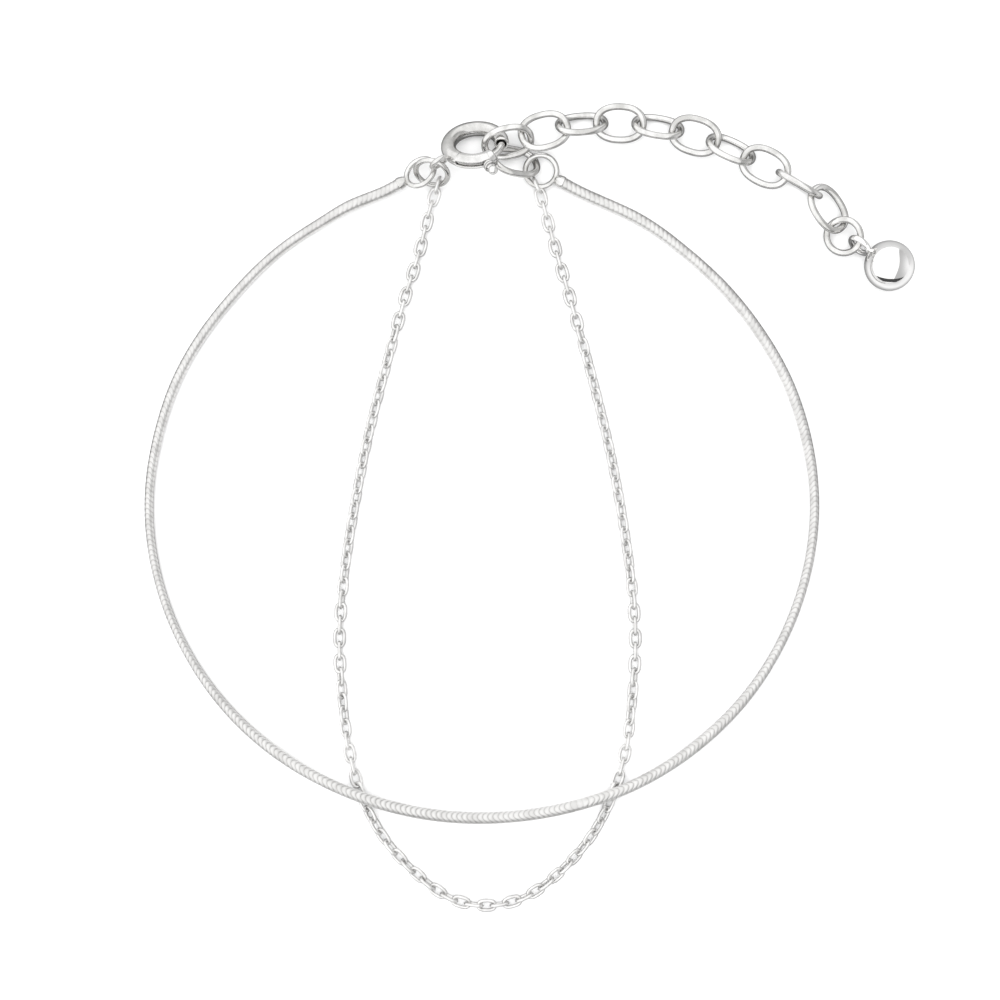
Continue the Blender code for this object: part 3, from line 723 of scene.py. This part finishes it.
def makeSnakeChain():
    # r = R - groove(phase) round the chain, where a plate's edge swings along it as
    # wave * cos(2 (v - peak)) * strength. The section is an oval, as wide as the route says.
    path = snakePath()
    path[:, 2] = np.maximum(path[:, 2], snakeChain["diameter"] / 2 * mm)
    total = atLength(path, [0])[1]
    pitch = snakeChain["plate"] * mm
    plates = int(total / pitch)
    profile = np.array(snakeChain["plateProfile"])
    phase = (np.arange(plates)[:, None] + profile[None, :, 0]).reshape(-1)
    depth = np.tile(profile[:, 1], plates)
    phase, depth = np.append(phase, plates), np.append(depth, 1.0)
    around = np.linspace(0, 2 * np.pi, snakeChain["sides"], endpoint=False)
    angle, _, _, peak, strength, width = np.array(snakeChain["route"], float).T
    spot, _ = atLength(path, phase * total / plates)
    fromMiddle = spot[:, :2] - np.array(snakeChain["middle"]) * mm
    where = np.degrees(np.unwrap(np.arctan2(fromMiddle[:, 1], fromMiddle[:, 0])))
    peaks = np.radians(np.interp(where, angle, peak))
    swing = np.cos(2 * (around[None, :] - peaks[:, None]))
    strength = np.interp(where, angle, strength)[:, None]
    swing = np.sign(swing) * np.abs(swing) ** snakeChain["waveShape"] * strength
    along = phase[:, None] * total / plates - snakeChain["wave"] * mm * swing
    along = np.clip(along, 0, total)
    centre, _ = atLength(path, along)
    reach = snakeChain["tangentReach"] * mm
    ahead, _ = atLength(path, np.clip(along + reach, 0, total))
    behind, _ = atLength(path, np.clip(along - reach, 0, total))
    tangent = unit(ahead - behind)
    outward = unit(np.cross(tangent, np.array([0, 0, 1.0])))
    upward = np.cross(outward, tangent)
    # a plate's edge stands out less where it swings less
    standOut = np.clip(snakeChain["standOut"] * np.abs(strength), snakeChain["leastGroove"], 1)
    depth = depth[:, None] * standOut
    radius = (snakeChain["diameter"] / 2 - snakeChain["grooveDepth"] * depth)[:, None] * mm
    wide = np.interp(where, angle, width)[:, None, None] * np.sin(around)[None, :, None]
    grid = centre + radius * (outward * wide + upward * np.cos(around)[None, :, None])
    surface = Surface()
    creases = np.broadcast_to(depth ** snakeChain["tarnishShape"], grid.shape[:2])
    surface.tube(grid[:, ::-1], creases)
    metal = silver["snakeSilver"]
    finishPiece("wovenSnakeChain", surface, metal, "bracelet", ["snake_chain"])


fineChain = {
    # lengths in mm and angles in degrees
    "link": (1.7, 1.1, 0.29),  # outer length, outer width, wire
    "power": 2.8,  # how square the oval is
    "links": 123,
    "height": 0.55,  # of its middle off the table
    "steps": 16,
    "sides": 6,
    "pathStep": 0.05,
    # a link's number, counted from either end, and how far it is turned over there
    "twist": (
        (0, 0),
        (9, 0),
        (11, 12),
        (12.7, 35),
        (14, 45),
        (29.5, 45),
        (31.3, 60),
        (33.6, 80),
        (35.6, 90),
        (37.5, 92),
        (38.8, 110),
        (40.5, 135),
        (42.5, 150),
        (44.4, 175),
        (46.4, 182),
        (47.6, 220),
        (49.5, 225),
        (52.7, 240),
        (55.8, 250),
        (57.9, 255),
        (60, 265),
        (62, 270),
    ),
    # x, y and lift off the table
    "route": (
        (-8.15, 25.10, 0.35),
        (-8.94, 22.04, 0.05),
        (-10.22, 17.88, 0.0),
        (-11.40, 13.71, 0.0),
        (-12.51, 9.54, 0.0),
        (-13.52, 5.38, 0.0),
        (-14.33, 1.21, 0.0),
        (-15.02, -2.96, 0.0),
        (-15.53, -7.12, 0.0),
        (-15.75, -11.29, 0.0),
        (-15.53, -15.46, 0.0),
        (-15.02, -19.62, 0.0),
        (-14.05, -23.40, 0.0),
        (-12.55, -26.58, 0.0),
        (-10.71, -29.00, 0.0),
        (-8.62, -30.95, 0.0),
        (-6.54, -32.35, 0.0),
        (-4.46, -32.93, 0.0),
        (-2.38, -32.89, 0.0),
        (-0.29, -32.28, 0.0),
        (1.79, -30.90, 0.0),
        (3.88, -28.90, 0.0),
        (5.75, -26.40, 0.0),
        (7.20, -23.20, 0.0),
        (8.16, -19.62, 0.0),
        (8.67, -15.46, 0.0),
        (8.90, -11.29, 0.0),
        (8.68, -7.12, 0.0),
        (8.17, -2.96, 0.0),
        (7.50, 1.21, 0.0),
        (6.67, 5.38, 0.0),
        (5.67, 9.54, 0.0),
        (4.57, 13.71, 0.0),
        (3.38, 17.88, 0.0),
        (2.15, 22.04, 0.05),
        (1.35, 24.90, 0.25),
    ),
}


def makeFineChain():
    # One oval wire repeated along the route. Every second link stands a right angle over,
    # and the twist there is taken off each link's turn about the chain.
    ends = {name: solidAxes(name)[0] for name in ("fine_chain_left_link", "fine_chain_right_link")}
    x, y, lift = np.array(fineChain["route"]).T
    points = np.stack([x, y, lift + fineChain["height"]], -1) * mm
    points = [ends["fine_chain_left_link"], *points, ends["fine_chain_right_link"]]
    path = smoothPath(points, fineChain["pathStep"] * mm)
    total = atLength(path, [0])[1]
    count = fineChain["links"]
    step = total / (count + 1)
    places = step * (1 + np.arange(count))
    middle, _ = atLength(path, places)
    ahead, _ = atLength(path, places + step / 2)
    behind, _ = atLength(path, places - step / 2)
    along = unit(ahead - behind)
    side = unit(np.cross(np.array([0, 0, 1.0]), along))
    top = np.cross(along, side)
    number = np.arange(count)
    fromEnd = np.minimum(number + 1, count - number)
    twistAt, twist = np.array(fineChain["twist"], float).T
    roll = np.radians(90.0 * (number % 2) - np.interp(fromEnd, twistAt, twist))[:, None]
    wide = side * np.cos(roll) + top * np.sin(roll)
    thin = np.cross(along, wide)
    length, width, wire = (size * mm for size in fineChain["link"])
    shape = ovalWire(length, width, wire, fineChain["power"], fineChain["steps"], fineChain["sides"])
    axes = np.stack([along, wide, thin], 1)
    grids = np.einsum("rcd,nde->nrce", shape, axes) + middle[:, None, None]
    rows, columns = shape.shape[:2]
    faces = gridFaces(rows, columns, True)
    offsets = np.arange(count)[:, None, None] * rows * columns
    surface = Surface()
    surface.add(grids, (faces[None] + offsets).reshape(-1, 4))
    finishPiece("fineChainLinks", surface, silver["fineSilver"], "bracelet", ["fine_chain"])
    print("fine chain links:", count, "pitch in mm:", round(step / mm, 4))


for ringName, ringPlace in endRing["places"].items():
    makeEndRing(ringName, ringPlace)
makeLink("clasp_jump_ring", "claspRing")
makeLink("end_jump_ring", "endRing")
for linkName in ["connector_link", *[f"extender_link_{number}" for number in range(1, 11)]]:
    makeLink(linkName, "extenderLink")
for linkName in ("fine_chain_left_link", "fine_chain_right_link"):
    makeLink(linkName, "fineEndLink")
makeSpringRing()
makeTrigger()
makeBall()
makeSnakeChain()
makeFineChain()

studio = {
    # lengths in mm
    "tableSize": 3000.0,
    "tableDrop": 0.02,  # how far it lies under the piece
    "tableColour": (0.92, 0.92, 0.92, 1),
    "tableRoughness": 0.35,
    # painted shade: how light the table right under the metal looks to mirror rays, by how far it lies
    # from the loop's middle
    "paintedShadeNear": ((22.8, 0.36), (23.6, 0.76), (26.6, 0.72), (27.4, 0.14)),
    "paintedShadeFront": (0.38, 0.38, 0.38, 1),  # the same painted shade in front of the loop
    "frontFrom": ((28.2, 28.8), (0.0, 5.0)),  # from the loop's middle, and to the front
    "paintedReflectionFar": (0.6, 0.6, 0.6, 1),  # painted reflection: the open table farther off, greyer for mirror rays only
    "paintedReflectionBack": (0.4, 0.4, 0.4, 1),  # and its greyer painted back
    "backFrom": (18.0, 25.0),
    # between these ray lengths the painted shade near the metal gives way to the painted open table
    "shadeReach": (1.5, 5.5),
    "tentWhite": 1.25,
    "tentRight": 0.52,  # the greyer wall on the right
    "rightGlow": 0.45,  # what it gains straight to the right
    "glowSharpness": 6.0,
    "rightEdge": (0.57, 0.63),
    "edgeBend": (0.27, -0.13),  # the shares of y^2 and y that bend it
    "frontGap": 0.07,  # the dark slit at the front, low over the table
    "slitHeight": (-0.9, -1.16),  # its height, and what y adds to it
    "slitEdge": (0.17, 0.23),
    "slitFront": (0.5, 0.64),
    "lampPower": 9.0,
    "lampSize": 1200.0,
    "lampAt": (-150.0, 100.0, 1000.0),
    "cameraAt": (-2.375, 0.79),
    "viewWidth": 83.33,  # across the picture
    "viewHeight": 0.5,  # off the table, where it has that width
    "lens": 100.0,
    "sensor": 36.0,
    "cameraReach": (10.0, 10000.0),  # the nearest and the farthest that it sees
}


def freePlace(tree):
    # the next cell of a grid, eight nodes to a row
    row, column = divmod(len(tree.nodes), 8)
    return column * 200 - 600, -row * 220


def maths(tree, operation, *values):
    # one Math node fed with sockets or plain numbers
    node = addNode(tree, "ShaderNodeMath", freePlace(tree), operation=operation)
    for socket, value in zip(node.inputs, values):
        if isinstance(value, (int, float)):
            socket.default_value = value
        else:
            tree.links.new(value, socket)
    return node.outputs[0]


def mixColours(tree, share, first, second):
    # first where share is 0, second where it is 1
    node = addNode(tree, "ShaderNodeMix", freePlace(tree), data_type="RGBA")
    tree.links.new(share, node.inputs["Factor"])
    for socket, colour in ((node.inputs[6], first), (node.inputs[7], second)):
        if isinstance(colour, tuple):
            socket.default_value = colour
        else:
            tree.links.new(colour, socket)
    return node.outputs[2]


def smoothRise(tree, value, low, high):
    # 0 below low and 1 above high, with a smooth step between
    node = addNode(tree, "ShaderNodeMapRange", freePlace(tree), interpolation_type="SMOOTHSTEP")
    node.inputs["From Min"].default_value = low
    node.inputs["From Max"].default_value = high
    tree.links.new(value, node.inputs["Value"])
    return node.outputs["Result"]


def rampOf(tree, value, stops):
    # greys at given values, joined by straight lines: the ramp runs to the last stop's value
    reach = stops[-1][0]
    node = addNode(tree, "ShaderNodeValToRGB", freePlace(tree))
    ramp = node.color_ramp
    while len(ramp.elements) < len(stops):
        ramp.elements.new(0.5)
    for element, (at, light) in zip(ramp.elements, stops):
        element.position = at / reach
        element.color = (light, light, light, 1)
    tree.links.new(maths(tree, "DIVIDE", value, reach), node.inputs["Fac"])
    return node.outputs["Color"]


def makeTable():
    # A plane that is plain for the camera. For mirror rays its colour is painted shade and painted
    # reflection: a grey that depends on how far the spot seen in the mirror lies from the metal, from the
    # loop's middle, to the front and to the back.
    half = studio["tableSize"] / 2 * mm
    mesh = bpy.data.meshes.new("table")
    corners = [(-half, -half), (half, -half), (half, half), (-half, half)]
    mesh.from_pydata([(x, y, -studio["tableDrop"] * mm) for x, y in corners], [], [(0, 1, 2, 3)])
    material = bpy.data.materials.new("paleTablePaintedShade")
    material.use_nodes = True
    tree = material.node_tree
    shader = tree.nodes["Principled BSDF"]
    shader.inputs["Roughness"].default_value = studio["tableRoughness"]
    ray = addNode(tree, "ShaderNodeLightPath", (-900, 200))
    # how far off the spot seen in the mirror lies: nearer the metal the painted shade takes over
    off = smoothRise(tree, ray.outputs["Ray Length"], *(reach * mm for reach in studio["shadeReach"]))
    place = addNode(tree, "ShaderNodeTexCoord", (-900, -200))
    split = addNode(tree, "ShaderNodeSeparateXYZ", (-700, -200))
    tree.links.new(place.outputs["Object"], split.inputs[0])
    back = smoothRise(tree, split.outputs["Y"], *(reach * mm for reach in studio["backFrom"]))
    paintedOpenTable = mixColours(tree, back, studio["paintedReflectionFar"], studio["paintedReflectionBack"])
    # painted shade of the loop, falling outwards: to mirror rays the table is lightest just inside it, and
    # its front lightens again
    middleX, middleY = (value * mm for value in snakeChain["middle"])
    sideways = maths(tree, "POWER", maths(tree, "SUBTRACT", split.outputs["X"], middleX), 2.0)
    forwards = maths(tree, "POWER", maths(tree, "SUBTRACT", split.outputs["Y"], middleY), 2.0)
    distance = maths(tree, "SQRT", maths(tree, "ADD", sideways, forwards))
    near = rampOf(tree, distance, [(reach * mm, light) for reach, light in studio["paintedShadeNear"]])
    beyond, ahead = studio["frontFrom"]
    outside = smoothRise(tree, distance, *(edge * mm for edge in beyond))
    toFront = maths(tree, "MULTIPLY", split.outputs["Y"], -1.0)
    front = smoothRise(tree, toFront, *(edge * mm for edge in ahead))
    paintedLoopShade = mixColours(tree, maths(tree, "MULTIPLY", outside, front), near, studio["paintedShadeFront"])
    paintedReflection = mixColours(tree, off, paintedLoopShade, paintedOpenTable)
    # the camera sees the plain table, mirror rays see the painted shade and painted reflection
    seen = mixColours(tree, ray.outputs["Is Glossy Ray"], studio["tableColour"], paintedReflection)
    tree.links.new(seen, shader.inputs["Base Color"])
    mesh.materials.append(material)
    table = bpy.data.objects.new("table", mesh)
    bpy.context.scene.collection.objects.link(table)


def makeTent():
    # White all round and above. The right wall is greyer and glows straight to the right.
    # A dark slit runs low across the front.
    world = bpy.data.worlds.new("lightTent")
    bpy.context.scene.world = world
    world.use_nodes = True
    tree = world.node_tree
    place = addNode(tree, "ShaderNodeTexCoord", (-900, 0))
    split = addNode(tree, "ShaderNodeSeparateXYZ", (-700, 0))
    tree.links.new(place.outputs["Generated"], split.inputs[0])
    x, y, z = (split.outputs[axis] for axis in "XYZ")
    # the wall's edge bends: x + a y^2 + b y
    square, plain = studio["edgeBend"]
    slanted = maths(tree, "MULTIPLY_ADD", y, plain, x)
    bent = maths(tree, "MULTIPLY_ADD", maths(tree, "MULTIPLY", y, y), square, slanted)
    wall = smoothRise(tree, bent, *studio["rightEdge"])
    glow = maths(tree, "POWER", maths(tree, "MAXIMUM", x, 0.0), studio["glowSharpness"])
    wallShade = maths(tree, "MULTIPLY_ADD", glow, studio["rightGlow"], studio["tentRight"])
    darker = maths(tree, "MULTIPLY", maths(tree, "SUBTRACT", wallShade, studio["tentWhite"]), wall)
    shade = maths(tree, "ADD", darker, studio["tentWhite"])
    # the slit lies lower toward its ends
    low, slope = studio["slitHeight"]
    height = maths(tree, "MULTIPLY_ADD", y, slope, low)
    away = maths(tree, "ABSOLUTE", maths(tree, "SUBTRACT", z, height))
    inSlit = maths(tree, "SUBTRACT", 1.0, smoothRise(tree, away, *studio["slitEdge"]))
    inFront = smoothRise(tree, maths(tree, "MULTIPLY", y, -1.0), *studio["slitFront"])
    slit = maths(tree, "MULTIPLY", inSlit, inFront)
    dark = maths(tree, "MULTIPLY", maths(tree, "SUBTRACT", studio["frontGap"], shade), slit)
    strength = maths(tree, "ADD", shade, dark)
    background = tree.nodes["Background"]
    background.inputs["Color"].default_value = (1, 1, 1, 1)
    tree.links.new(strength, background.inputs["Strength"])


def addLamp():
    # a wide soft lamp overhead that lights the table and isn't mirrored in the metal
    lamp = bpy.data.lights.new("overheadLamp", "AREA")
    lamp.size, lamp.energy = studio["lampSize"] * mm, studio["lampPower"]
    holder = bpy.data.objects.new("overheadLamp", lamp)
    holder.location = [place * mm for place in studio["lampAt"]]
    holder.visible_glossy = False
    bpy.context.scene.collection.objects.link(holder)


def makeCamera():
    # straight down, from the distance at which the lens takes in the picture's width
    camera = bpy.data.cameras.new("camera")
    camera.lens = studio["lens"]
    camera.sensor_width = studio["sensor"]
    distance = studio["viewWidth"] * mm * camera.lens / camera.sensor_width
    camera.clip_start, camera.clip_end = (reach * mm for reach in studio["cameraReach"])
    holder = bpy.data.objects.new("camera", camera)
    x, y = studio["cameraAt"]
    holder.location = (x * mm, y * mm, distance + studio["viewHeight"] * mm)
    bpy.context.scene.collection.objects.link(holder)
    bpy.context.scene.camera = holder


makeTable()
makeTent()
addLamp()
makeCamera()
# plain colours, so that the white table comes out white
bpy.context.scene.view_settings.view_transform = "Standard"
print("table, light and camera ready")
